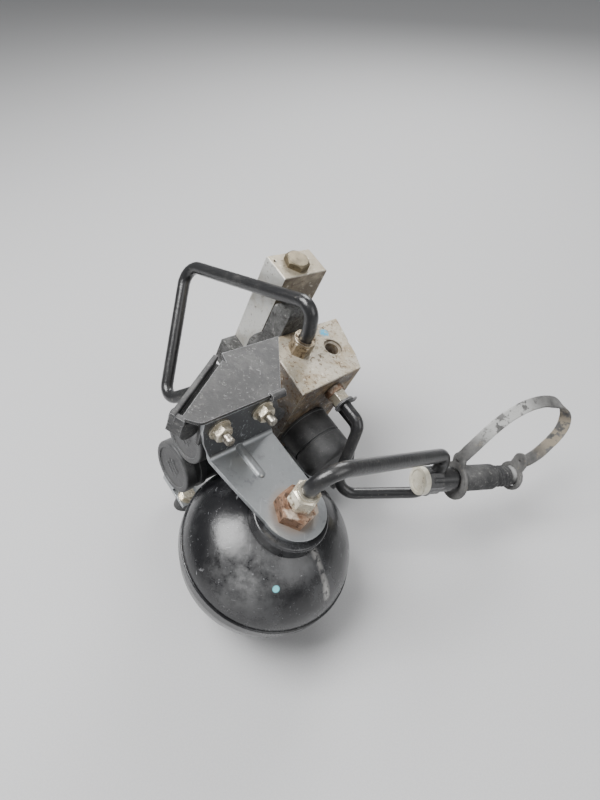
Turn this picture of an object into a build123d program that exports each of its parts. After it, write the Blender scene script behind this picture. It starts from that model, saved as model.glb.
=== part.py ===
from build123d import *
import os
import math

os.makedirs("parts", exist_ok=True)

# The unit is laid out in its own upright frame: the accumulator's axis is Z, the valve
# block's front faces -Y and the origin is the centre of the accumulator. The last step
# leans the whole unit into its resting attitude on the floor. Sizes are in millimetres.

# Accumulator
SPHERE_R = 55.0
SHELL_T = 3.0
DIAPHRAGM_H = 29.0  # crown of the rubber diaphragm above the weld
DIAPHRAGM_T = 2.2
LOWER_H = 59.0
UPPER_H = 41.0
BAND_HALF = 4.0
BAND_PROUD = 0.9
BOSS_R = 23.5
BOSS_TOP = 46.5
PORT_R = 4.0

# Sheet-metal brackets
STRAP_T = 3.0
STRAP_END_R = 20.3
CREASE_Y = 50.8
FLANGE_LEAN = 8.0
FLANGE_H = 34.6
BEAD_R = 3.6
BEAD_BACK = Vector(-5.2, 51.6, 47.6)
BEAD_FRONT = Vector(-3.9, 28.5, 47.6)
WING_T = 2.5
WING_TOP = 87.0

# Fasteners
M6_STUD_R = 2.8
M6_FLANGE_R = 7.1
M6_HEX_AF = 10.0

# Pipes
PIPE_R = 4.8
FEED_R = 4.0
DRAIN_R = 2.6

# Valve block, bar block and solenoids
BLOCK_FRONT = 57.0
BLOCK_TOP = 65.4
BLOCK_BOTTOM = -12.0
CAN_X, CAN_Z = 70.0, 15.0
CAN_R = 19.0
CAN_FRONT = 21.0
BAR_X0, BAR_Y0 = 72.3, 127.5
BAR_W, BAR_D = 38.6, 22.8
BAR_TOP, BAR_BOTTOM = 92.8, 12.4
TWIN_R = 17.0
TWIN_CAP_R = 18.4
TWIN_Y = 75.6
TWIN_Z = (-2.0, 36.5)
TWIN_FACE_X = -25.0

# Service tee, its axis lies level and points right and forward
TEE_START = Vector(94.0, -25.0, 46.5)
TEE_YAW = -24.0
TEE_R = 8.4
NECK_R = 6.2
CAP_R = 9.1
CAP_TIP_R = 7.0
TEE_PIPE_BEND = Vector(115.5, -23.6, 62.8)
TEE_PIPE_END = Vector(105.9, -28.9, 49.0)

# Hidden low end of the loop pipe
LOOP_LOW = Vector(16.2, 143.9, -38.4)
LOOP_END = Vector(37.0, 112.0, 16.0)

# Running clearance of the sliding pieces, per side
RUN = 0.05

# Resting attitude: turned about X, then Y, then Z
LEAN_X, LEAN_Y, TURN_Z = 18.68, 11.51, 41.73
FLOOR_DROP = 58.5

UPRIGHT = {}


def add(name, shape):
    UPRIGHT[name] = shape


def cyl(radius, low, high, x=0.0, y=0.0):
    """Vertical cylinder between two heights."""
    return Pos(x, y, (low + high) / 2) * Cylinder(radius, high - low)


def box(x0, x1, y0, y1, z0, z1):
    """Box between two corners."""
    return Pos((x0 + x1) / 2, (y0 + y1) / 2, (z0 + z1) / 2) * Box(x1 - x0, y1 - y0, z1 - z0)


def hexagon(across_flats, low, high, x=0.0, y=0.0, turn=0.0):
    """Vertical hexagonal prism with a turned-down top corner."""
    prism = extrude(RegularPolygon(across_flats / 2, 6, major_radius=False), high - low)
    corner = across_flats / 2 / math.cos(math.pi / 6)
    lathe = Cylinder(corner + 0.05, high - low, align=(Align.CENTER, Align.CENTER, Align.MIN))
    lathe = chamfer(lathe.edges().group_by(Axis.Z)[-1], corner * 0.13, corner * 0.22)
    return Pos(x, y, low) * Rot(0, 0, turn) * (prism & lathe)


def along(origin, direction):
    """Location whose Z axis points along a direction."""
    return Plane(origin=origin, z_dir=direction).location


def straight(radius, start, end):
    """Round rod between two points."""
    run = end - start
    return along(start, run) * Cylinder(radius, run.length, align=(Align.CENTER, Align.CENTER, Align.MIN))


def pipe(points, radius, bends):
    """Round rod of straight runs joined by circular bends, one radius per corner."""
    points = [Vector(*point) for point in points]
    start = points[0]
    body = []
    for before, corner, after, bend in zip(points, points[1:], points[2:], bends):
        back = (before - corner).normalized()
        ahead = (after - corner).normalized()
        half = math.radians(back.get_angle(ahead)) / 2
        bend_start = corner + back * (bend / math.tan(half))
        centre = corner + (back + ahead).normalized() * (bend / math.sin(half))
        body.append(straight(radius, start, bend_start))
        section = Plane(origin=bend_start, z_dir=back * -1) * Circle(radius)
        hinge = Axis(centre, (back * -1).cross(ahead))
        body.append(revolve(section, hinge, revolution_arc=180 - 2 * math.degrees(half)))
        start = corner + ahead * (bend / math.tan(half))
    body.append(straight(radius, start, points[-1]))
    return body[0].fuse(*body[1:])


def dome(radius, height):
    """Solid of revolution with an elliptical outline, both halves."""
    rim = EllipticalCenterArc((0, 0), radius, height, start_angle=-90, arc_size=180)
    flat = Plane.XZ * make_face([rim, Line(rim @ 1, rim @ 0)])
    return revolve(flat, Axis.Z)


# ---------------------------------------------------------------- accumulator
def accumulator():
    bottom = dome(SPHERE_R, LOWER_H) - dome(SPHERE_R - SHELL_T, LOWER_H - SHELL_T)
    bottom &= box(-60, 60, -60, 60, -70, -BAND_HALF)
    bottom -= cyl(7.0, -70, -30)
    add("accumulator_lower_shell", bottom)
    top = dome(SPHERE_R, UPPER_H) - dome(SPHERE_R - SHELL_T, UPPER_H - SHELL_T)
    top &= box(-60, 60, -60, 60, BAND_HALF, 60)
    top -= cyl(BOSS_R, 20, 60)
    add("accumulator_upper_shell", top)
    band = cyl(SPHERE_R + BAND_PROUD, -BAND_HALF, BAND_HALF)
    band = fillet(band.edges(), 0.8)
    add("accumulator_weld_band", band - cyl(SPHERE_R - SHELL_T, -5, 5))
    boss = cyl(BOSS_R, 31.0, BOSS_TOP)
    boss = fillet(boss.edges().group_by(Axis.Z)[-1], 1.6)
    boss -= cyl(PORT_R, 30, 45)
    boss -= cyl(8.0, 38.0, BOSS_TOP + 1)
    add("neck_boss", boss)
    plug = cyl(7.0, -1.0 - LOWER_H, 6.0 - LOWER_H) - hexagon(7.0, -2.0 - LOWER_H, 3.0 - LOWER_H)
    add("gas_plug", plug)


def diaphragm():
    rim = SPHERE_R - SHELL_T - 0.4
    curve = (rim ** 2 + DIAPHRAGM_H ** 2) / (2 * DIAPHRAGM_H)
    skin = Pos(0, 0, DIAPHRAGM_H - curve) * (Sphere(curve) - Sphere(curve - DIAPHRAGM_T))
    skin &= box(-60, 60, -60, 60, 0, 60)
    skin -= cyl(6.4, 20, 40)
    add("diaphragm", skin)
    button = cyl(6.0, 25.6, 29.0) + cyl(9.0, 29.3, 30.6) + cyl(6.0, 28.9, 29.4)
    add("diaphragm_button", button)


# ---------------------------------------------------------------- brackets
def lean_dir():
    lean = math.radians(FLANGE_LEAN)
    return Vector(0, math.sin(lean), math.cos(lean))


def folded_profile(y_start, z_low, sheet, height, reach, radius):
    """Side outline of a level sheet turned up at its back edge, in Y and Z."""
    up = lean_dir()
    out = Vector(0, up.Z, -up.Y)
    top = Vector(0, reach, z_low + sheet)
    inner_tip = top + up * height
    outer_tip = inner_tip + out * sheet
    drop = (outer_tip.Z - z_low) / up.Z
    corner = outer_tip - up * drop
    pts = [(y_start, z_low), (corner.Y, z_low), (outer_tip.Y, outer_tip.Z)]
    pts += [(inner_tip.Y, inner_tip.Z), (top.Y, top.Z), (y_start, top.Z)]
    face = make_face(Polyline(*pts, close=True))
    face = fillet(face.vertices().sort_by_distance((corner.Y, z_low))[0], radius + sheet)
    return fillet(face.vertices().sort_by_distance((top.Y, top.Z))[0], radius)


def strap_bracket():
    low = BOSS_TOP
    side = folded_profile(-25, low, STRAP_T, FLANGE_H, CREASE_Y, 3.5)
    sheet = extrude(Plane.YZ * side, 40, both=True)
    end = Pos(1.5, 0.8) * Circle(STRAP_END_R)
    sides = make_face(Polyline((-18.8, 2), (-22.4, 23.5), (-26.2, 49.6), (20.6, 49.6),
                               (20.8, 34), (21.6, 2), close=True))
    plan = extrude(Pos(0, 0, low - 5) * (end + sides), 60)
    outline = make_face(Polyline((-26.2, 40), (-26.2, 51), (-32.3, 65.6), (-35.2, 78), (-35.2, 87),
                                 (14, 87), (13.2, 74), (17.0, 61), (20.6, 51),
                                 (20.6, 40), close=True))
    outline = fillet(outline.vertices().group_by(Axis.X)[0].group_by(Axis.Y)[0], 6)
    front = extrude(Plane.XZ * outline, 100, both=True) & box(-60, 60, 49.5, 90, 40, 90)
    sheet = (sheet & plan) + (sheet & front)
    up = lean_dir()
    bead = straight(BEAD_R, BEAD_BACK, BEAD_FRONT) + Pos(*BEAD_FRONT) * Sphere(BEAD_R)
    sheet += bead & box(-40, 40, 0, 60, low + 1, low + 20)
    sheet -= cyl(8.3, 40, 60)
    for centre in stud_points():
        sheet -= along(centre, Vector(0, -up.Z, up.Y)) * Cylinder(3.2, 14)
    add("strap_bracket", sheet)


def stud_points():
    """Middle of each stud hole on the strap flange's front face."""
    up = lean_dir()
    base = Vector(0, CREASE_Y, BOSS_TOP + STRAP_T)
    return [base + up * 26.4 + Vector(-24.5, 0, 0), base + up * 27.0 + Vector(5.5, 0, 0)]


def fasteners():
    up = lean_dir()
    out = Vector(0, -up.Z, up.Y)
    stud = Cylinder(M6_STUD_R, 17.5, align=(Align.CENTER, Align.CENTER, Align.MIN))
    stud = chamfer(stud.edges().group_by(Axis.Z)[-1], 0.6)
    stud += Cylinder(5.6, 2.0, align=(Align.CENTER, Align.CENTER, Align.MAX))
    nut = Cylinder(M6_FLANGE_R, 1.5, align=(Align.CENTER, Align.CENTER, Align.MIN))
    nut += hexagon(M6_HEX_AF, 1.4, 6.4, turn=12)
    nut -= Cylinder(M6_STUD_R, 30)
    studs = []
    nuts = []
    for centre in stud_points():
        back = centre - out * (STRAP_T + WING_T + 0.04)
        studs.append(along(back, out) * stud)
        nuts.append(along(centre, out) * nut)
    add("flange_studs", Compound(studs))
    add("flange_nuts", Compound(nuts))
    add("isolators", isolator_pair())


def isolator_pair():
    """Rubber buffers that stand between the two brackets, one at each side."""
    left = box(-42.0, -30.8, 61.8, 70, 67, 79.3)
    left += Pos(-36.4, 65.9, 67.0) * Rot(90, 0, 0) * Cylinder(5.6, 8.2)
    right = Pos(27.5, 57.4, 50.5) * Rot(90, 0, 0) * Cylinder(8.2, 3.6)
    right = fillet(right.edges(), 1.0)
    return Compound([left, right])


def wing_bracket():
    low = WING_TOP - WING_T
    plan = make_face(Polyline((-44.0, 61.2), (-38.0, 55.6), (16.4, 55.6), (41.0, 90.8),
                              (-1.0, 92.0), (-2.4, 85.3), close=True))
    plan = fillet(plan.vertices().sort_by_distance((-38.0, 55.6))[0], 6)
    wing = extrude(Pos(0, 0, low) * plan, WING_T)
    run = Plane(origin=(-44.0, 61.2, 0), x_dir=(41.6, 24.1, 0), z_dir=(0, 0, 1))
    length = 48.0
    wing += run.location * box(0, length, 0, WING_T, low - 5, WING_TOP)
    wing += run.location * box(0, length, 0, 7.0, low - 5, low - 5 + WING_T)
    lip = box(-2, length, 5.2, 8.4, low - 5, WING_TOP + 1.0)
    wing += run.location * fillet(lip.edges().filter_by(Axis.X), 1.1)
    tip = make_face(Polyline((-49.6, 67.6), (-45.6, 60.0), (-44.0, 62.8), (-47.4, 69.0), close=True))
    wing += extrude(Pos(0, 0, 72.5) * tip, WING_TOP - 72.5)
    up = lean_dir()
    flange = Plane.YZ * make_face(down_flange())
    flange = Pos(-9, 0, 0) * extrude(flange, 25, both=True)
    wing += flange
    for centre in stud_points():
        wing -= along(centre, Vector(0, -up.Z, up.Y)) * Cylinder(3.2, 16)
    hook = Rot(0, 90, 0) * (Cylinder(2.6, 10) - Cylinder(1.1, 12))
    hook = Pos(13, 54.6, WING_TOP - 0.6) * hook
    wing += hook
    add("wing_bracket", wing)


def down_flange():
    """Side outline of the wing's front flange, which lies behind the strap's flange."""
    up = lean_dir()
    base = Vector(0, CREASE_Y, BOSS_TOP + STRAP_T)
    out = Vector(0, up.Z, -up.Y)
    inner_low = base + up * 13 + out * (STRAP_T + 0.02)
    inner_high = base + up * 36.4 + out * (STRAP_T + 0.02)
    outer_low = inner_low + out * WING_T
    outer_high = inner_high + out * WING_T
    pts = [(inner_low.Y, inner_low.Z), (inner_high.Y, inner_high.Z)]
    pts += [(outer_high.Y, outer_high.Z), (outer_low.Y, outer_low.Z)]
    return Polyline(*pts, close=True)


def base_bracket():
    """Pressed plate under the valve block, with a leg at the left and a foot at the right."""
    plan = make_face(Polyline((-3, 66), (40, 62), (60, 26), (118, 26), (125, 33), (125, 100),
                              (-3, 100), close=True))
    plate = extrude(Pos(0, 0, -23.5) * plan, 2.5)
    plate -= box(8, 44, 70, 92, -30, -10)
    leg = box(-3, 14, 97.5, 100, -76, -21) + box(-3, -0.5, 86, 100, -76, -21)
    leg += box(-3, 14, 70, 100, -76, -73.5)
    leg -= cyl(3.4, -80, -70, 4.5, 77)
    plate += leg
    plate -= cyl(3.4, -30, -10, 108, 40)
    add("base_bracket", plate)
    feet = ((4.5, 77, -73.5), (108, 40, -21.0))
    bolts = []
    for x, y, seat in feet:
        head = cyl(6.8, seat, seat + 1.2, x, y) + hexagon(M6_HEX_AF, seat + 1.1, seat + 5.4, x, y, 20)
        bolts.append(head + cyl(3.0, seat - 7.5, seat + 0.6, x, y))
    add("foot_bolts", Compound(bolts))
    rubbers = []
    for bolt, (x, y, seat) in zip(bolts, feet):
        rubber = cyl(7.2, seat - 40, seat - 2.5, x, y) & upright_floor()
        rubbers.append(rubber - bolt)
    add("foot_rubbers", Compound(rubbers))


def to_rest(shape):
    """Lean a shape from the upright frame into the resting attitude."""
    turned = shape.rotate(Axis.X, LEAN_X).rotate(Axis.Y, LEAN_Y)
    return turned.rotate(Axis.Z, TURN_Z).translate((0, 0, FLOOR_DROP))


def upright_floor():
    """Half space above the floor, seen from the upright frame."""
    slab = box(-400, 400, -400, 400, -FLOOR_DROP, 300)
    return slab.rotate(Axis.Z, -TURN_Z).rotate(Axis.Y, -LEAN_Y).rotate(Axis.X, -LEAN_X)


# ---------------------------------------------------------------- neck and pipes
def neck():
    adaptor = hexagon(22.0, BOSS_TOP + STRAP_T, 59.0, turn=8)
    adaptor += cyl(7.95, 39.0, BOSS_TOP + STRAP_T + 1)
    adaptor += cyl(7.2, 58.5, 62.0)
    adaptor -= cyl(PORT_R, 30, 70)
    adaptor -= cyl(PIPE_R, 50, 70)
    add("neck_adaptor", adaptor)
    nut = hexagon(15.0, 62.0, 72.5, turn=22) + cyl(6.6, 72.0, 74.5)
    add("neck_pipe_nut", nut - cyl(PIPE_R, 60, 80))
    route = [(0, 0, 51), (0, 0, 95), TEE_PIPE_BEND, TEE_PIPE_END]
    add("sphere_pipe", pipe(route, PIPE_R, (15, 8)))


def loop_pipe():
    x, y = 67.1, 88.6
    nut = hexagon(14.0, BLOCK_TOP, 76.0, x, y, 10) + cyl(7.6, 75.5, 77.5, x, y)
    nut += cyl(6.4, BLOCK_TOP - 9, BLOCK_TOP + 0.5, x, y)
    add("loop_pipe_nut", nut - cyl(PIPE_R + 0.15, 40, 90, x, y))
    route = [(x, y, 60), (x, y, 84), (66.4, 94.6, 103.4), (64, 214.9, 29.3), LOOP_LOW, LOOP_END]
    add("loop_pipe", pipe(route, PIPE_R, (10, 9, 13, 10)))


def feed_pipe():
    collar = Pos(80.1, BLOCK_FRONT, 52.7) * Rot(90, 0, 0)
    ring = Cylinder(7.0, 4.0, align=(Align.CENTER, Align.CENTER, Align.MIN)) - Cylinder(FEED_R, 40)
    add("feed_port_collar", collar * ring)
    nut = hexagon(11.5, 4.0, 12.0, turn=15) - Cylinder(FEED_R, 60)
    add("feed_pipe_nut", collar * nut)
    clip = Cylinder(7.4, 1.4, align=(Align.CENTER, Align.CENTER, Align.MIN))
    clip += Pos(8.5, 0, 0.7) * Box(6, 4, 1.4)
    add("feed_pipe_clip", collar * Pos(0, 0, 12.0) * (clip - Cylinder(FEED_R, 8)))
    under = tee_point(12)
    route = [(80.1, BLOCK_FRONT - 3, 52.7), (80.1, 26.8, 52.7), (58.5, 4.3, 8.5)]
    route += [(under.X, under.Y, 28), (under.X, under.Y, 42)]
    add("feed_pipe", pipe(route, FEED_R, (9, 12, 8)))
    route = [(95, BLOCK_FRONT, 30), (95, 33.5, 30), (89.5, 14.5, 3), (72, 11, -5)]
    add("drain_tube", pipe(route, DRAIN_R, (6, 6)))


# ---------------------------------------------------------------- valve block and solenoids
def valve_block():
    plan = make_face(Polyline((45.7, BLOCK_FRONT), (102.8, BLOCK_FRONT + 1.8), (108.0, 71.0),
                              (116.6, 103.3), (60.6, 103.7), (48.6, 93.0), close=True))
    block = extrude(Pos(0, 0, BLOCK_BOTTOM) * plan, BLOCK_TOP - BLOCK_BOTTOM)
    block = chamfer(block.edges().group_by(Axis.Z)[-1], 0.6)
    block -= cyl(4.2, 30, 80, 113.2, 79.5)
    block -= cyl(6.4, BLOCK_TOP - 9, 80, 67.1, 88.6)
    block -= cyl(PIPE_R, BLOCK_TOP - 12, 80, 67.1, 88.6)
    block -= cyl(5.2, BLOCK_TOP - 15, 80, 94.1, 81.6)
    block -= cyl(7.0, BLOCK_TOP - 2.0, 80, 94.1, 81.6)
    gallery = Pos(CAN_X, BLOCK_FRONT, CAN_Z) * Rot(-90, 0, 0)
    block -= gallery * Cylinder(5.0 + RUN, 26)
    feed = Pos(80.1, BLOCK_FRONT, 52.7) * Rot(-90, 0, 0)
    block -= feed * Cylinder(FEED_R, 9)
    block -= Pos(95, BLOCK_FRONT, 30) * Rot(90, 0, 0) * Cylinder(DRAIN_R, 5)
    add("valve_block", block)


def front_solenoid():
    """Can with its coil, fixed core, sprung plunger and return spring."""
    seat = Pos(CAN_X, BLOCK_FRONT, CAN_Z) * Rot(90, 0, 0)
    length = BLOCK_FRONT - CAN_FRONT
    can = Cylinder(CAN_R, length, align=(Align.CENTER, Align.CENTER, Align.MIN))
    can = fillet(can.edges().group_by(Axis.Z)[-1], 7.0)
    can += Cylinder(CAN_R + 0.5, 1.6, align=(Align.CENTER, Align.CENTER, Align.MIN))
    groove = Cylinder(CAN_R + 3, 2.2) - Cylinder(CAN_R - 1.2, 3)
    can -= Pos(0, 0, 18.5) * groove
    can -= Pos(0, 0, length / 2 - 3) * Cylinder(CAN_R - 2, length - 5)
    can += Cylinder(CAN_R - 1.9, 1.0, align=(Align.CENTER, Align.CENTER, Align.MIN))
    can -= Cylinder(7.0, 4)
    add("front_solenoid_can", seat * can)
    coil = Pos(0, 0, 15.0) * (Cylinder(CAN_R - 2.4, 26) - Cylinder(7.0, 30))
    add("front_solenoid_coil", seat * coil)
    guide = Pos(0, 0, 15.0) * (Cylinder(6.9, 30) - Pos(0, 0, -2) * Cylinder(5.0 + RUN, 30))
    add("front_solenoid_core", seat * guide)
    plunger = Pos(0, 0, -2.0) * Cylinder(5.0, 16) - Pos(0, 0, 6) * Cylinder(2.6, 8)
    add("front_solenoid_plunger", seat * plunger)
    spring = Pos(0, 0, 2.6) * spring_coil(2.0, 0.35, 24.8, 12)
    add("front_solenoid_spring", seat * spring)


def spring_coil(radius, wire, height, turns):
    """Round-wire compression spring standing on z = 0."""
    path = Helix(height / turns, height, radius)
    section = Plane(origin=path @ 0, z_dir=path % 0) * Circle(wire)
    return sweep(section, path, is_frenet=True)


def twin_solenoids():
    bodies = []
    caps = []
    coils = []
    for index, height in enumerate(TWIN_Z):
        seat = Pos(TWIN_FACE_X, TWIN_Y, height) * Rot(0, 90, 0)
        body = Pos(0, 0, 7) * Cylinder(TWIN_R, 55, align=(Align.CENTER, Align.CENTER, Align.MIN))
        body += Pos(0, 0, 13) * Cylinder(TWIN_CAP_R, 4)
        body -= Pos(0, 0, 6) * Cylinder(TWIN_R - 2, 50, align=(Align.CENTER, Align.CENTER, Align.MIN))
        bodies.append(seat * body)
        cap = Cylinder(TWIN_CAP_R, 6.8, align=(Align.CENTER, Align.CENTER, Align.MIN))
        cap = fillet(cap.edges().group_by(Axis.Z)[0], 1.4)
        cap -= Cylinder(14.6, 1.2)
        for offset in (-3.6, 0.0, 3.6):
            cap += Rot(0, 0, 24) * Pos(offset, 0, 0.5) * Box(1.2, 13 - abs(offset), 0.9)
        caps.append(seat * cap)
        coils.append(seat * Pos(0, 0, 32) * (Cylinder(TWIN_R - 2.4, 44) - Cylinder(6.0 + RUN, 50)))
        plunger = Pos(0, 0, 38) * Cylinder(6.0, 30)
        add(("lower_plunger", "upper_plunger")[index], seat * plunger)
        spring = Pos(0, 0, 7.7) * spring_coil(3.4, 0.5, 14.4, 7)
        add(("lower_plunger_spring", "upper_plunger_spring")[index], seat * spring)
    add("twin_solenoid_bodies", Compound(bodies))
    add("twin_solenoid_caps", Compound(caps))
    add("twin_solenoid_coils", Compound(coils))


# ---------------------------------------------------------------- bar block
def bar_block():
    bar = box(0, BAR_W, 0, BAR_D, 0, BAR_TOP - BAR_BOTTOM)
    bar = chamfer(bar.edges().group_by(Axis.Z)[-1], 0.5)
    cx, cy = BAR_W / 2 - 1.5, BAR_D / 2
    top = BAR_TOP - BAR_BOTTOM
    bar -= cyl(6.0 + RUN, top - 40, top + 1, cx, cy)
    bar -= cyl(3.0, top - 60, top - 30, cx, cy)
    bar -= cyl(1.2, top - 4, top + 1, 3.2, 17.0)
    place = Pos(BAR_X0, BAR_Y0, BAR_BOTTOM) * Rot(0, 0, -2)
    add("bar_block", place * bar)
    plug = hexagon(16.0, top, top + 5.0, cx, cy, 12) + cyl(6.0, top - 8, top + 0.5, cx, cy)
    add("bar_hex_plug", place * plug)
    poppet = cyl(5.95, top - 38, top - 24, cx, cy) - cyl(3.6, top - 34, top - 20, cx, cy)
    add("check_poppet", place * poppet)
    spring = Pos(cx, cy, top - 33.4) * spring_coil(2.6, 0.45, 24.6, 9)
    add("check_spring", place * spring)


def rear_casting():
    """Rough casting that carries the bar block, the twin solenoids and the loop pipe's union."""
    body = box(58, 112, 103.8, 124.0, -12, 46)
    body = fillet(body.edges().filter_by(Axis.Y), 5)
    crown = box(62, 83, 103.8, 119.0, 30, 84)
    body += fillet(crown.edges().group_by(Axis.Z)[-1], 5)
    body += box(40, 60, 103.8, 112.0, 6, 40)
    body += box(60, 114, 120.0, 150, -10, 12.2)
    body -= straight(PIPE_R, LOOP_LOW, LOOP_END)
    add("rear_casting", body)


# ---------------------------------------------------------------- service tee, cap and tether
def tee_point(distance, side=0.0, height=0.0):
    """Point beside the service port's axis."""
    yaw = math.radians(TEE_YAW)
    ahead = Vector(math.cos(yaw), math.sin(yaw), 0)
    across = Vector(-math.sin(yaw), math.cos(yaw), 0)
    return TEE_START + ahead * distance + across * side + Vector(0, 0, height)


def tee_place(distance):
    """Location on the port's axis with Z pointing out of the port."""
    ahead = tee_point(1) - tee_point(0)
    return Plane(origin=tee_point(distance), x_dir=(0, 0, 1), z_dir=ahead).location


def rod(radius, start, end):
    return tee_place(start) * Cylinder(radius, end - start, align=(Align.CENTER, Align.CENTER, Align.MIN))


def service_tee():
    body = rod(TEE_R, 8, 28)
    block = extrude(RegularPolygon(8.2, 6, major_radius=False), 12)
    body += tee_place(4) * block
    body += rod(NECK_R, 28, 47)
    under = tee_point(12)
    body += cyl(6.0, under.Z - 12, under.Z, under.X, under.Y)
    body -= rod(3.0, 6, 28)
    body -= rod(0.8, 27, 31)
    body -= rod(2.0 + RUN, 30, 50)
    body -= straight(PIPE_R + 0.15, TEE_PIPE_END, TEE_PIPE_BEND)
    body -= cyl(FEED_R + 0.15, under.Z - 20, under.Z - 4.5, under.X, under.Y)
    add("service_tee", body)
    plug = rod(9.5, 0, 4) - rod(7.4, -1, 0.6)
    add("tee_end_plug", plug)
    pin = rod(2.0, 33, 46.4)
    add("service_pin", pin)
    add("service_pin_spring", tee_place(30.2) * spring_coil(1.4, 0.25, 2.3, 3))


def dust_cap():
    cap = rod(CAP_R, 34, 64)
    cap = fillet(cap.edges(), 1.2)
    tip = rod(CAP_TIP_R, 62, 88)
    tip = fillet(tip.edges().sort_by_distance(tee_point(90))[0], 1.5)
    cap += tip
    for step in range(4):
        ring = tee_place(69 + 3.2 * step) * Rot(0, 14, 0) * Torus(CAP_TIP_R + 0.1, 0.8)
        cap += ring
    cap -= rod(NECK_R + 0.35, 30, 50)
    cap -= rod(2.6, 40, 58)
    add("dust_cap", cap)


def tether():
    upward = (Align.CENTER, Align.CENTER, Align.MIN)
    first = tee_place(31.3) * Pos(-2.5, 0, 0) * Cylinder(13.4, 2.3, align=upward)
    first += tab(31.3, 8.25, 10.2)
    first -= rod(NECK_R + 0.02, 20, 40)
    second = tee_place(82) * Cylinder(10.6, 2.6, align=upward)
    second += tab(82, 3.8, 14.0)
    second -= rod(CAP_TIP_R + 0.35, 80, 90)
    width = Vector(0.2, -0.95, -0.22)
    points = [(126.0, -30.4, 57.0), (126.8, -29.9, 68.0), (133, -29, 79.5), (147, -28, 89.5),
              (163, -29, 96.5), (179, -32.5, 99.8), (193, -38, 99.5), (202.5, -45, 95.5),
              (205.3, -51.5, 88.5), (202, -55.5, 80.5), (192, -58, 69.5), (183.5, -58, 61.5),
              (173.4, -56.6, 53.0)]
    path = Spline(*points)
    sections = []
    for step in range(15):
        spot = step / 14
        tangent = path % spot
        side = width - tangent * width.dot(tangent)
        plane = Plane(origin=path @ spot, x_dir=side, z_dir=tangent)
        sections.append(plane * Rectangle(8.6, 1.8))
    add("cap_tether", loft(sections) + first + second)


def tab(distance, side, height):
    """Flat lug with a small hole that joins a ring to the strap."""
    reach = math.hypot(side, height)
    angle = math.degrees(math.atan2(-side, height))
    lug = extrude(SlotCenterToCenter(reach, 12.0), 2.3)
    lug = Rot(0, 0, angle) * Pos(reach / 2, 0, 0) * lug
    lug -= Rot(0, 0, angle) * Pos(reach, 0, 0) * Cylinder(1.1, 10)
    return tee_place(distance) * lug


def main():
    accumulator()
    diaphragm()
    strap_bracket()
    fasteners()
    wing_bracket()
    base_bracket()
    neck()
    loop_pipe()
    feed_pipe()
    valve_block()
    front_solenoid()
    twin_solenoids()
    bar_block()
    rear_casting()
    service_tee()
    dust_cap()
    tether()
    placed = {name: to_rest(shape) for name, shape in UPRIGHT.items()}
    bounds = Compound(list(placed.values())).bounding_box()
    middle = bounds.center()
    shift = (-middle.X, -middle.Y, -bounds.min.Z)
    print("bounds", bounds.min, bounds.max)
    for name, shape in placed.items():
        print(name, len(shape.solids()), round(shape.volume / 1000, 2))
        export_step(shape.translate(shift), "parts/" + name + ".step")


main()
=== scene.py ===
import math

import bmesh
import bpy
from mathutils import Matrix, Vector, noise


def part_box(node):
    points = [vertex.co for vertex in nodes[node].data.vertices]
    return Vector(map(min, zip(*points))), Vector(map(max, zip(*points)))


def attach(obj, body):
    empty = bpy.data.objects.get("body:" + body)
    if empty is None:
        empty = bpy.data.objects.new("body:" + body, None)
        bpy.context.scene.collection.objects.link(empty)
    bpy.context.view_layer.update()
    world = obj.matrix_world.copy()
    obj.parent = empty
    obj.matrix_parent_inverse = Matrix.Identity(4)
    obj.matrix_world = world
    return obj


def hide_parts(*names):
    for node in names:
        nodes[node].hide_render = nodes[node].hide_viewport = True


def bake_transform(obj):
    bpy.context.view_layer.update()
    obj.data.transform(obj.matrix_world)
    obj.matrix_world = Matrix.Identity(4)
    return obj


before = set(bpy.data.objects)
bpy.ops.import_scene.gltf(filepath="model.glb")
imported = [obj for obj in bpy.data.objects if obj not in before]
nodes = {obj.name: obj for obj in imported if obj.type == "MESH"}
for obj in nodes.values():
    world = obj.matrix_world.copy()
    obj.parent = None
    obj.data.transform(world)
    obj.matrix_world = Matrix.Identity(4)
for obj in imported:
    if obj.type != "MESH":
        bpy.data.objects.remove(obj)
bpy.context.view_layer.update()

# The unit's own upright frame, in millimetres from the middle of the accumulator.
# The unit rests turned and tilted by these angles, in degrees.
TURN, TIP, ROLL = 41.73, 11.51, 18.68
LEAN = (Matrix.Rotation(math.radians(TURN), 4, "Z")
        @ Matrix.Rotation(math.radians(TIP), 4, "Y")
        @ Matrix.Rotation(math.radians(ROLL), 4, "X"))
band_low, band_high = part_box("accumulator_weld_band")
ORIGIN = (band_low + band_high) / 2
MM = 0.001


def place(x, y, z):
    """Scene point, in metres, of an upright-frame point in millimetres."""
    return ORIGIN + LEAN @ Vector((x, y, z)) * MM


def heading(x, y, z):
    """Scene direction of an upright-frame direction."""
    return (LEAN @ Vector((x, y, z))).normalized()


UP, BACK, RIGHT = heading(0, 0, 1), heading(0, 1, 0), heading(1, 0, 0)

# Marks on the surfaces
NECK_TOP = place(0, 0, 49.5)
# Where the painted highlight of the key light's reflection sits on the sphere
KEY_HIGHLIGHT_SPOT = place(-38, -14, 31)
STREAK_TOP, STREAK_FOOT = place(2.9, -20, 38), place(3, -50, 19.5)
CYAN_DOT = place(-26.2, -28.9, 28.9)
BLUE_DOT = place(96.2, 94.6, 65.4)
CAP_TIP = place(170.4, -59, 50.5)
STRAP_WEAR = place(152, -28, 92)
STRAP_TAN = place(201, -55, 80)

EDGE_RADIUS = 0.5 * MM


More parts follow.
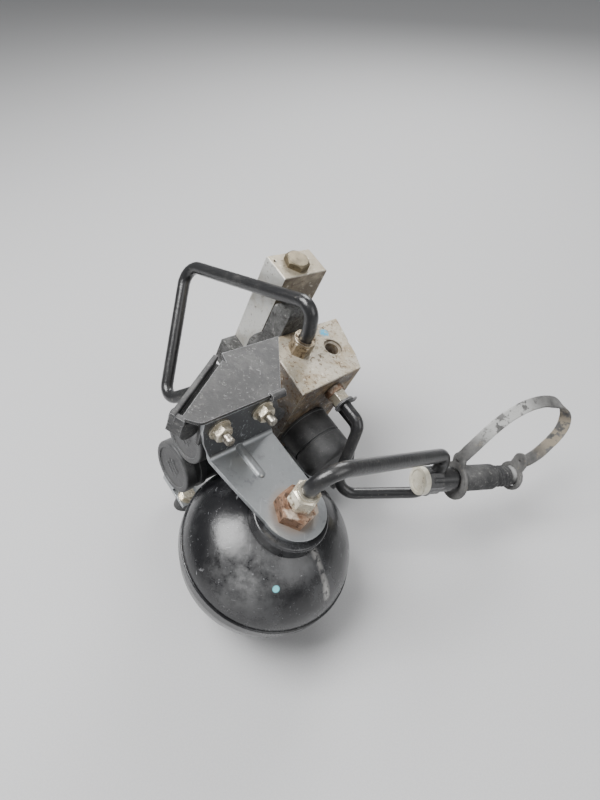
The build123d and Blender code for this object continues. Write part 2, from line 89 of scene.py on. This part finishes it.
# ------------------------------------------------------------------ materials
class Shader:
    """Builds one node material a layer at a time."""

    def __init__(self, name, colour, rough, metal=0.0):
        self.mat = bpy.data.materials.new(name)
        self.mat.use_nodes = True
        self.tree = self.mat.node_tree
        self.bsdf = self.tree.nodes["Principled BSDF"]
        self.bsdf.inputs["Metallic"].default_value = metal
        self.coord = self.tree.nodes.new("ShaderNodeTexCoord")
        self.colour = colour
        self.rough = rough
        bevel = self.new("ShaderNodeBevel", samples=4)
        bevel.inputs["Radius"].default_value = EDGE_RADIUS
        self.height = self.rounded = bevel.outputs[0]

    def new(self, kind, **settings):
        """Adds a node and sets its properties."""
        node = self.tree.nodes.new(kind)
        for key, value in settings.items():
            setattr(node, key, value)
        return node

    def link(self, a, b):
        self.tree.links.new(a, b)

    def feed(self, item, socket):
        """Joins a socket to a layer's output, or gives it a constant."""
        if isinstance(item, bpy.types.NodeSocket):
            self.tree.links.new(item, socket)
        elif isinstance(item, tuple):
            socket.default_value = (*item, 1)
        else:
            socket.default_value = item

    def noise(self, scale, detail=6.0, rough=0.6, low=0.4, high=0.6, stretch=(1, 1, 1), seed=0.0):
        """Mask from fractal noise: 0 below low, 1 above high."""
        mapping = self.new("ShaderNodeMapping")
        mapping.inputs["Scale"].default_value = stretch
        mapping.inputs["Location"].default_value = (seed, seed * 0.7, seed * 1.3)
        self.link(self.coord.outputs["Object"], mapping.inputs["Vector"])
        tex = self.new("ShaderNodeTexNoise")
        tex.inputs["Scale"].default_value = scale
        tex.inputs["Detail"].default_value = detail
        tex.inputs["Roughness"].default_value = rough
        self.link(mapping.outputs[0], tex.inputs["Vector"])
        return self.band(tex.outputs["Fac"], low, high)

    def cells(self, scale, size, seed=0.0):
        """Mask of scattered round specks."""
        mapping = self.new("ShaderNodeMapping")
        mapping.inputs["Location"].default_value = (seed, seed, seed)
        self.link(self.coord.outputs["Object"], mapping.inputs["Vector"])
        tex = self.new("ShaderNodeTexVoronoi")
        tex.inputs["Scale"].default_value = scale
        self.link(mapping.outputs[0], tex.inputs["Vector"])
        return self.band(tex.outputs["Distance"], size, size * 0.5)

    def band(self, source, low, high):
        """Mask that climbs from 0 where the source is low to 1 where it is high."""
        ramp = self.new("ShaderNodeMapRange")
        ramp.inputs["From Min"].default_value = low
        ramp.inputs["From Max"].default_value = high
        self.link(source, ramp.inputs["Value"])
        return ramp.outputs["Result"]

    def times(self, a, b):
        """Product of two masks, or of a mask and a number."""
        node = self.new("ShaderNodeMath", operation="MULTIPLY", use_clamp=True)
        self.feed(a, node.inputs[0])
        self.feed(b, node.inputs[1])
        return node.outputs[0]

    def facing(self, direction, low, high):
        """Mask of the faces that look along a direction."""
        dot = self.new("ShaderNodeVectorMath", operation="DOT_PRODUCT")
        self.link(self.coord.outputs["Normal"], dot.inputs[0])
        dot.inputs[1].default_value = direction
        return self.band(dot.outputs["Value"], low, high)

    def near(self, point, inner, outer):
        """Mask of what lies close to a point."""
        gap = self.new("ShaderNodeVectorMath", operation="DISTANCE")
        self.link(self.coord.outputs["Object"], gap.inputs[0])
        gap.inputs[1].default_value = point
        return self.band(gap.outputs["Value"], outer, inner)

    def near_line(self, start, end, inner, outer):
        """Mask of what lies close to the straight stretch between two points."""
        offset = self.new("ShaderNodeVectorMath", operation="SUBTRACT")
        self.link(self.coord.outputs["Object"], offset.inputs[0])
        offset.inputs[1].default_value = start
        cross = self.new("ShaderNodeVectorMath", operation="CROSS_PRODUCT")
        self.link(offset.outputs[0], cross.inputs[0])
        cross.inputs[1].default_value = (end - start).normalized()
        size = self.new("ShaderNodeVectorMath", operation="LENGTH")
        self.link(cross.outputs[0], size.inputs[0])
        reach = (end - start).length / 2
        ends = self.near((start + end) / 2, reach, reach + 3 * MM)
        return self.times(self.band(size.outputs["Value"], outer, inner), ends)

    def edges(self, low=0.985, high=0.90):
        """Mask of worn edges, where the rounded normal leaves the flat one."""
        geo = self.new("ShaderNodeNewGeometry")
        dot = self.new("ShaderNodeVectorMath", operation="DOT_PRODUCT")
        self.link(geo.outputs["Normal"], dot.inputs[0])
        self.link(self.rounded, dot.inputs[1])
        return self.band(dot.outputs["Value"], low, high)

    def paint(self, mask, colour, amount=1.0, rough=None):
        """Lays a colour, and a roughness, over what is there."""
        fac = mask if amount == 1.0 else self.times(mask, amount)
        mix = self.new("ShaderNodeMix", data_type="RGBA")
        self.link(fac, mix.inputs["Factor"])
        self.feed(self.colour, mix.inputs[6])
        mix.inputs[7].default_value = (*colour, 1)
        self.colour = mix.outputs[2]
        if rough is not None:
            blend = self.new("ShaderNodeMix", data_type="FLOAT")
            self.link(fac, blend.inputs["Factor"])
            self.feed(self.rough, blend.inputs[2])
            blend.inputs[3].default_value = rough
            self.rough = blend.outputs[0]
        return self

    def relief(self, mask, depth):
        """Adds height, in metres, to the bump."""
        bump = self.new("ShaderNodeBump")
        bump.inputs["Distance"].default_value = depth
        bump.inputs["Strength"].default_value = 1.0
        self.link(mask, bump.inputs["Height"])
        self.link(self.height, bump.inputs["Normal"])
        self.height = bump.outputs[0]
        return self

    def done(self):
        """Joins the layers to the shader and gives back the material."""
        self.feed(self.colour, self.bsdf.inputs["Base Color"])
        self.feed(self.rough, self.bsdf.inputs["Roughness"])
        self.link(self.height, self.bsdf.inputs["Normal"])
        return self.mat


def black_enamel():
    s = Shader("worn_black_enamel", (0.006, 0.006, 0.007), 0.24)
    s.bsdf.inputs["Coat Weight"].default_value = 0.2
    s.bsdf.inputs["Coat Roughness"].default_value = 0.22
    s.paint(s.noise(34, detail=8, low=0.44, high=0.72), (0.016, 0.016, 0.018), rough=0.26)
    cloud = s.noise(28, detail=9, rough=0.68, low=0.47, high=0.66, stretch=(1, 1, 0.45), seed=11)
    s.paint(cloud, (0.085, 0.087, 0.090), 0.55, rough=0.38)
    dust = s.noise(150, detail=10, rough=0.78, low=0.615, high=0.67)
    s.paint(dust, (0.24, 0.24, 0.25), 0.6, rough=0.6)
    for seed, stretch in ((3, (1, 0.06, 0.22)), (8, (0.16, 1, 0.07)), (15, (0.3, 0.09, 1))):
        scratch = s.noise(1100, detail=2, low=0.715, high=0.75, stretch=stretch, seed=seed)
        s.paint(scratch, (0.36, 0.37, 0.38), 0.5, rough=0.5)
    s.paint(s.cells(300, 0.055, seed=0.4), (0.50, 0.51, 0.52), 0.7, rough=0.7)
    # Painted highlight: a soft pale grey patch, broken up by noise, on the upper left of the sphere where
    # the key light's reflection falls.
    painted_highlight = s.times(s.near(KEY_HIGHLIGHT_SPOT, 4 * MM, 30 * MM),
                   s.noise(75, detail=9, rough=0.7, low=0.36, high=0.62, seed=21))
    s.paint(painted_highlight, (0.20, 0.20, 0.20), 0.75, rough=0.5)
    streak = s.times(s.near_line(STREAK_TOP, STREAK_FOOT, 0.8 * MM, 3.4 * MM),
                     s.noise(380, detail=8, low=0.38, high=0.52))
    s.paint(streak, (0.44, 0.43, 0.41), 0.9, rough=0.7)
    s.paint(s.near(CYAN_DOT, 1.6 * MM, 2.3 * MM), (0.20, 0.66, 0.72), rough=0.5)
    s.relief(s.noise(220, detail=4, low=0.3, high=0.7), 0.00007)
    return s.done()


def plated_steel():
    s = Shader("dull_plated_steel", (0.30, 0.315, 0.325), 0.38, 0.7)
    s.paint(s.noise(24, detail=7, low=0.35, high=0.70), (0.44, 0.455, 0.465), rough=0.30)
    # Painted shade: faces turned to the front, such as the strap's upright flange, are painted near black
    # for the dark surroundings they reflect.
    s.paint(s.facing(-BACK, 0.55, 0.9), (0.035, 0.036, 0.040), 0.85, rough=0.45)
    grime = s.noise(90, detail=9, rough=0.7, low=0.56, high=0.68, seed=2)
    s.paint(grime, (0.13, 0.135, 0.14), 0.6, rough=0.55)
    for seed, stretch in ((4, (1, 0.05, 1)), (9, (0.07, 1, 0.4))):
        scratch = s.noise(640, detail=2, low=0.66, high=0.71, stretch=stretch, seed=seed)
        s.paint(scratch, (0.58, 0.60, 0.62), 0.5)
    s.paint(s.near(NECK_TOP, 12.5 * MM, 16.5 * MM), (0.30, 0.20, 0.12), 0.5, rough=0.7)
    s.paint(s.cells(260, 0.07, seed=0.3), (0.62, 0.63, 0.64), 0.5)
    s.paint(s.edges(), (0.66, 0.68, 0.70), 0.7, rough=0.25)
    s.relief(s.noise(420, detail=5, low=0.3, high=0.7), 0.00004)
    return s.done()


def zinc(name="aged_zinc_plate", colour=(0.60, 0.55, 0.44), dirt=(0.20, 0.14, 0.08), low=0.54):
    s = Shader(name, colour, 0.32, 0.85)
    brighter = tuple(part * 1.18 for part in colour)
    s.paint(s.noise(170, detail=8, low=0.42, high=0.62), brighter, rough=0.26)
    s.paint(s.noise(260, detail=9, rough=0.7, low=low, high=low + 0.09, seed=6), dirt, 0.85, rough=0.65)
    s.paint(s.edges(), (0.78, 0.75, 0.68), 0.6, rough=0.22)
    s.relief(s.noise(700, detail=5, low=0.3, high=0.7), 0.00005)
    return s.done()


def rusty(name="rusted_steel", light=(0.44, 0.29, 0.20)):
    s = Shader(name, (0.19, 0.105, 0.062), 0.62, 0.3)
    s.paint(s.noise(120, detail=9, rough=0.7, low=0.46, high=0.60), light, 0.85, rough=0.45)
    s.paint(s.noise(280, detail=9, low=0.52, high=0.60, seed=3), (0.060, 0.034, 0.022), 0.9, rough=0.85)
    s.paint(s.noise(85, detail=7, low=0.54, high=0.62, seed=9), (0.56, 0.49, 0.41), 0.75, rough=0.4)
    s.paint(s.edges(), (0.52, 0.36, 0.26), 0.6, rough=0.4)
    s.relief(s.noise(520, detail=8, low=0.35, high=0.65), 0.00022)
    return s.done()


def sheet_black():
    s = Shader("dusty_black_sheet", (0.022, 0.022, 0.023), 0.46)
    # Upward faces painted lighter grey: partly settled dust, partly painted light from above.
    s.paint(s.facing(UP, 0.4, 0.9), (0.060, 0.059, 0.059), 0.85, rough=0.48)
    cloud = s.noise(58, detail=9, rough=0.72, low=0.44, high=0.68)
    s.paint(cloud, (0.135, 0.133, 0.130), 0.75, rough=0.6)
    dust = s.noise(320, detail=9, rough=0.78, low=0.56, high=0.65, seed=2)
    s.paint(dust, (0.25, 0.245, 0.235), 0.7, rough=0.7)
    for seed, stretch in ((5, (1, 0.07, 1)), (12, (0.07, 1, 0.5))):
        scratch = s.noise(1000, detail=2, low=0.70, high=0.74, stretch=stretch, seed=seed)
        s.paint(scratch, (0.46, 0.46, 0.46), 0.6)
    s.paint(s.cells(300, 0.07, seed=0.4), (0.60, 0.59, 0.58), 0.6)
    s.paint(s.edges(0.99, 0.93), (0.50, 0.50, 0.51), 0.85, rough=0.35)
    s.relief(s.noise(500, detail=6, low=0.35, high=0.65), 0.00009)
    return s.done()


def pipe_black():
    s = Shader("coated_pipe", (0.014, 0.014, 0.015), 0.28)
    s.bsdf.inputs["Coat Weight"].default_value = 0.35
    s.bsdf.inputs["Coat Roughness"].default_value = 0.18
    cloud = s.noise(64, detail=9, rough=0.7, low=0.50, high=0.68)
    s.paint(cloud, (0.040, 0.039, 0.038), 0.7, rough=0.36)
    dust = s.noise(430, detail=9, rough=0.75, low=0.60, high=0.67, seed=5)
    s.paint(dust, (0.20, 0.185, 0.16), 0.65, rough=0.55)
    s.paint(s.cells(380, 0.08, seed=0.6), (0.36, 0.33, 0.28), 0.6)
    s.relief(s.noise(600, detail=6, low=0.35, high=0.65), 0.00008)
    return s.done()


def alloy():
    s = Shader("weathered_alloy", (0.40, 0.36, 0.30), 0.48, 0.45)
    # Painted light and shade by face direction: front faces are painted dark brown and left faces mid
    # taupe as shade, and tops are painted pale as lit faces.
    s.paint(s.facing(-BACK, 0.6, 0.9), (0.075, 0.060, 0.050), 0.92, rough=0.55)
    s.paint(s.facing(-RIGHT, 0.6, 0.9), (0.20, 0.175, 0.155), 0.92, rough=0.5)
    s.paint(s.facing(UP, 0.6, 0.9), (0.52, 0.47, 0.37), 0.95, rough=0.42)
    s.paint(s.noise(44, detail=9, rough=0.7, low=0.46, high=0.66), (0.60, 0.57, 0.51), 0.4, rough=0.36)
    stain = s.noise(60, detail=8, rough=0.7, low=0.46, high=0.60, seed=13)
    s.paint(stain, (0.38, 0.28, 0.16), 0.6, rough=0.6)
    brown = s.noise(330, detail=10, rough=0.82, low=0.525, high=0.575, seed=2)
    corrosion = s.times(brown, s.noise(50, low=0.32, high=0.50, seed=4))
    s.paint(corrosion, (0.17, 0.10, 0.05), 0.95, rough=0.75)
    s.paint(s.cells(480, 0.13, seed=0.3), (0.075, 0.048, 0.030), 0.75, rough=0.8)
    s.paint(s.noise(360, detail=7, low=0.62, high=0.67, seed=7), (0.82, 0.79, 0.72), 0.65)
    s.paint(s.edges(), (0.78, 0.75, 0.68), 0.75, rough=0.28)
    daub = s.times(s.near(BLUE_DOT, 2.6 * MM, 4.2 * MM), s.noise(500, low=0.40, high=0.47))
    s.paint(daub, (0.10, 0.48, 0.72), rough=0.5)
    s.relief(s.noise(480, detail=9, rough=0.7, low=0.35, high=0.65), 0.00013)
    s.relief(brown, 0.00008)
    return s.done()


def bar_alloy():
    s = Shader("bar_alloy", (0.42, 0.38, 0.31), 0.42, 0.5)
    # Painted light and shade by face direction: front faces are painted dark bronze as shade, left faces
    # bright silver as painted light, and tops a darker brown.
    s.paint(s.facing(-BACK, 0.6, 0.9), (0.090, 0.066, 0.040), 0.9, rough=0.5)
    s.paint(s.facing(-RIGHT, 0.6, 0.9), (0.66, 0.66, 0.63), 0.95, rough=0.34)
    s.paint(s.facing(UP, 0.6, 0.9), (0.30, 0.26, 0.19), 0.9, rough=0.45)
    s.paint(s.noise(52, detail=9, rough=0.7, low=0.50, high=0.66), (0.42, 0.37, 0.28), 0.55, rough=0.5)
    brown = s.noise(330, detail=10, rough=0.8, low=0.57, high=0.63, seed=4)
    s.paint(brown, (0.10, 0.068, 0.038), 0.8, rough=0.7)
    s.paint(s.noise(300, detail=8, low=0.60, high=0.66, seed=9), (0.72, 0.68, 0.58), 0.6)
    s.paint(s.edges(), (0.82, 0.80, 0.74), 0.75, rough=0.28)
    s.relief(s.noise(420, detail=8, low=0.35, high=0.65), 0.00009)
    return s.done()


def casting():
    s = Shader("rough_casting", (0.075, 0.075, 0.073), 0.65, 0.3)
    s.paint(s.noise(110, detail=10, rough=0.75, low=0.45, high=0.62), (0.19, 0.19, 0.185), 0.8)
    s.paint(s.noise(300, detail=8, low=0.54, high=0.62, seed=3), (0.035, 0.032, 0.030), 0.85)
    s.paint(s.noise(420, detail=8, low=0.60, high=0.66, seed=8), (0.42, 0.41, 0.39), 0.6)
    s.relief(s.noise(380, detail=10, rough=0.8, low=0.3, high=0.7), 0.0006)
    return s.done()


def plastic_black():
    s = Shader("moulded_black", (0.030, 0.030, 0.031), 0.45)
    cloud = s.noise(50, detail=9, rough=0.7, low=0.38, high=0.66)
    s.paint(cloud, (0.105, 0.105, 0.106), 0.85, rough=0.58)
    dust = s.noise(400, detail=9, rough=0.78, low=0.58, high=0.66, seed=5)
    s.paint(dust, (0.20, 0.198, 0.19), 0.65, rough=0.72)
    s.paint(s.cells(340, 0.08, seed=0.2), (0.42, 0.38, 0.32), 0.6)
    s.paint(s.edges(), (0.26, 0.26, 0.262), 0.7)
    s.relief(s.noise(900, detail=5, low=0.3, high=0.7), 0.00005)
    return s.done()


def rubber():
    s = Shader("dusty_rubber", (0.028, 0.028, 0.029), 0.72)
    cloud = s.noise(46, detail=9, rough=0.72, low=0.42, high=0.68)
    s.paint(cloud, (0.120, 0.119, 0.117), 0.85, rough=0.8)
    dust = s.noise(330, detail=9, rough=0.78, low=0.55, high=0.65, seed=4)
    s.paint(dust, (0.27, 0.265, 0.25), 0.65, rough=0.85)
    s.paint(s.cells(360, 0.08, seed=0.7), (0.48, 0.47, 0.45), 0.55)
    s.paint(s.near(CAP_TIP, 4 * MM, 7.5 * MM), (0.62, 0.62, 0.61), 0.75, rough=0.6)
    s.relief(s.noise(650, detail=7, low=0.3, high=0.7), 0.00012)
    return s.done()


def strap_rubber():
    s = Shader("chalky_strap", (0.085, 0.084, 0.082), 0.7)
    s.paint(s.noise(58, detail=8, rough=0.7, low=0.40, high=0.64), (0.205, 0.202, 0.195), 0.85)
    worn = s.times(s.near(STRAP_WEAR, 14 * MM, 30 * MM),
                   s.noise(120, detail=8, low=0.44, high=0.48, seed=6))
    s.paint(worn, (0.52, 0.52, 0.505), 0.8, rough=0.55)
    grime = s.noise(440, detail=10, rough=0.8, low=0.57, high=0.64, seed=2)
    s.paint(grime, (0.035, 0.032, 0.029), 0.75)
    tanned = s.times(s.near(STRAP_TAN, 10 * MM, 24 * MM),
                     s.noise(150, detail=8, low=0.44, high=0.50, seed=17))
    s.paint(tanned, (0.40, 0.34, 0.25), 0.7)
    s.paint(s.noise(90, detail=8, low=0.60, high=0.68, seed=8), (0.36, 0.30, 0.22), 0.5)
    s.relief(s.noise(520, detail=8, rough=0.7, low=0.3, high=0.7), 0.00018)
    return s.done()


def cream():
    s = Shader("cream_plug", (0.60, 0.56, 0.45), 0.5)
    s.paint(s.noise(140, detail=9, low=0.46, high=0.64), (0.78, 0.75, 0.66), 0.7)
    s.paint(s.noise(380, detail=9, low=0.60, high=0.66, seed=3), (0.20, 0.15, 0.10), 0.7)
    s.relief(s.noise(700, detail=5, low=0.3, high=0.7), 0.00006)
    return s.done()


def aged_bronze():
    s = Shader("aged_bronze", (0.21, 0.175, 0.115), 0.42, 0.7)
    s.paint(s.noise(130, detail=9, low=0.45, high=0.62), (0.13, 0.11, 0.075), 0.8, rough=0.5)
    s.paint(s.noise(380, detail=8, low=0.60, high=0.67, seed=3), (0.06, 0.045, 0.03), 0.7)
    s.paint(s.edges(), (0.48, 0.42, 0.30), 0.7, rough=0.3)
    s.relief(s.noise(600, detail=6, low=0.3, high=0.7), 0.00007)
    return s.done()


def bright_metal(name, colour):
    s = Shader(name, colour, 0.25, 1.0)
    darker = tuple(part * 0.7 for part in colour)
    s.paint(s.noise(500, detail=4, low=0.5, high=0.7, stretch=(1, 0.1, 1)), darker, 0.6)
    s.relief(s.noise(900, detail=3, low=0.3, high=0.7), 0.00003)
    return s.done()


RUBBER = rubber()
STRAP = strap_rubber()
LOOKS = (
    (black_enamel(), (
        "accumulator_lower_shell", "accumulator_upper_shell", "accumulator_weld_band", "neck_boss")),
    (plated_steel(), ("strap_bracket", "base_bracket", "diaphragm_button")),
    (zinc(), ("flange_nuts", "foot_bolts", "neck_pipe_nut", "feed_pipe_nut", "gas_plug")),
    (zinc("stud_steel", colour=(0.30, 0.28, 0.24), dirt=(0.09, 0.075, 0.06), low=0.48), ("flange_studs",)),
    (zinc("dark_nut_steel", colour=(0.30, 0.25, 0.18), dirt=(0.08, 0.055, 0.035), low=0.50), (
        "loop_pipe_nut",)),
    (rusty(), ("neck_adaptor",)),
    (rusty("browned_collar", (0.26, 0.19, 0.13)), ("feed_port_collar",)),
    (sheet_black(), ("wing_bracket", "feed_pipe_clip")),
    (pipe_black(), ("sphere_pipe", "loop_pipe", "feed_pipe", "drain_tube", "service_tee")),
    (alloy(), ("valve_block",)),
    (bar_alloy(), ("bar_block",)),
    (casting(), ("rear_casting",)),
    (plastic_black(), ("front_solenoid_can", "twin_solenoid_bodies", "twin_solenoid_caps")),
    (RUBBER, ("isolators", "foot_rubbers", "dust_cap", "diaphragm")),
    (STRAP, ("cap_tether",)),
    (cream(), ("tee_end_plug",)),
    (aged_bronze(), ("bar_hex_plug",)),
    (bright_metal("enamelled_copper", (0.62, 0.28, 0.12)), ("front_solenoid_coil", "twin_solenoid_coils")),
    (bright_metal("ground_steel", (0.62, 0.62, 0.64)), (
        "front_solenoid_core", "front_solenoid_plunger", "front_solenoid_spring", "lower_plunger",
        "lower_plunger_spring", "upper_plunger", "upper_plunger_spring", "check_poppet", "check_spring",
        "service_pin", "service_pin_spring")),
)
for material, names in LOOKS:
    for name in names:
        if not nodes[name].material_slots:
            nodes[name].data.materials.append(material)
        for slot in nodes[name].material_slots:
            slot.material = material


# ------------------------------------------------------------------ pieces
RIPPLES_PER_METRE = 260


def moulded(node, name, material, voxel, ripple):
    """Rubber piece in the shape of a CAD node, with soft corners and a slightly uneven skin.

    voxel is the mesh size and ripple the height of the unevenness, both in metres.
    """
    piece = bpy.data.objects.new(name, nodes[node].data.copy())
    bpy.context.scene.collection.objects.link(piece)
    remesh = piece.modifiers.new("voxels", "REMESH")
    remesh.mode = "VOXEL"
    remesh.voxel_size = voxel
    soften = piece.modifiers.new("soften", "SMOOTH")
    soften.factor = 0.5
    soften.iterations = 3
    bpy.context.view_layer.update()
    graph = bpy.context.evaluated_depsgraph_get()
    mesh = bpy.data.meshes.new_from_object(piece.evaluated_get(graph))
    piece.modifiers.clear()
    piece.data = mesh
    skin = [vertex.co + vertex.normal * ripple * noise.noise(vertex.co * RIPPLES_PER_METRE)
            for vertex in mesh.vertices]
    mesh.vertices.foreach_set("co", [value for point in skin for value in point])
    mesh.polygons.foreach_set("use_smooth", [True] * len(mesh.polygons))
    mesh.materials.clear()
    mesh.materials.append(material)
    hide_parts(node)
    return piece


tether = moulded("cap_tether", "tether_strap", STRAP, 0.5 * MM, 0.12 * MM)
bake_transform(tether)
boot = moulded("dust_cap", "dust_cap_boot", RUBBER, 0.4 * MM, 0.08 * MM)
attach(boot, "dust_cap")
for pair in ("isolators", "foot_rubbers"):
    buffer = moulded(pair, pair + "_moulded", RUBBER, 0.5 * MM, 0.08 * MM)
    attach(buffer, "unit")

# ------------------------------------------------------------------ floor, light and camera
FLOOR_REACH = 4.0

floor_mesh = bpy.data.meshes.new("floor")
shape = bmesh.new()
bmesh.ops.create_grid(shape, x_segments=1, y_segments=1, size=FLOOR_REACH)
shape.to_mesh(floor_mesh)
shape.free()
floor = bpy.data.objects.new("floor", floor_mesh)
bpy.context.scene.collection.objects.link(floor)
ground = Shader("pale_floor", (0.55, 0.55, 0.555), 0.75)
ground.paint(ground.noise(900, detail=4, low=0.4, high=0.6), (0.50, 0.50, 0.505), 0.6)
floor_mesh.materials.append(ground.done())


def lamp(name, energy, size, location, target):
    """Square soft light of a size in metres and an energy in watts, aimed at a point."""
    data = bpy.data.lights.new(name, "AREA")
    data.energy = energy
    data.size = size
    lamp_object = bpy.data.objects.new(name, data)
    lamp_object.location = location
    lamp_object.rotation_euler = (Vector(target) - Vector(location)).to_track_quat("-Z", "Y").to_euler()
    bpy.context.scene.collection.objects.link(lamp_object)


lamp("key", 26, 0.7, (-0.55, -0.10, 1.15), (0, 0, 0.06))
lamp("fill", 8, 1.0, (1.0, -0.7, 0.9), (0, 0, 0.05))
lamp("back", 12, 0.6, (0.25, 1.0, 0.9), (0, 0, 0.05))
world = bpy.data.worlds.new("studio")
world.use_nodes = True
world.node_tree.nodes["Background"].inputs["Color"].default_value = (0.62, 0.63, 0.64, 1)
world.node_tree.nodes["Background"].inputs["Strength"].default_value = 0.42
bpy.context.scene.world = world

SENSOR_WIDTH = 36
FOCAL_LENGTH = 24.975
CAMERA_OFFSET = Vector((0.0213, -0.1863, 0.3164))  # from the middle of the accumulator
CAMERA_PITCH = 45

camera_data = bpy.data.cameras.new("camera")
camera_data.sensor_width = SENSOR_WIDTH
camera_data.lens = FOCAL_LENGTH
camera_data.clip_start = 0.01
camera = bpy.data.objects.new("camera", camera_data)
camera.location = ORIGIN + CAMERA_OFFSET
camera.rotation_euler = (math.radians(CAMERA_PITCH), 0, 0)
bpy.context.scene.collection.objects.link(camera)
bpy.context.scene.camera = camera
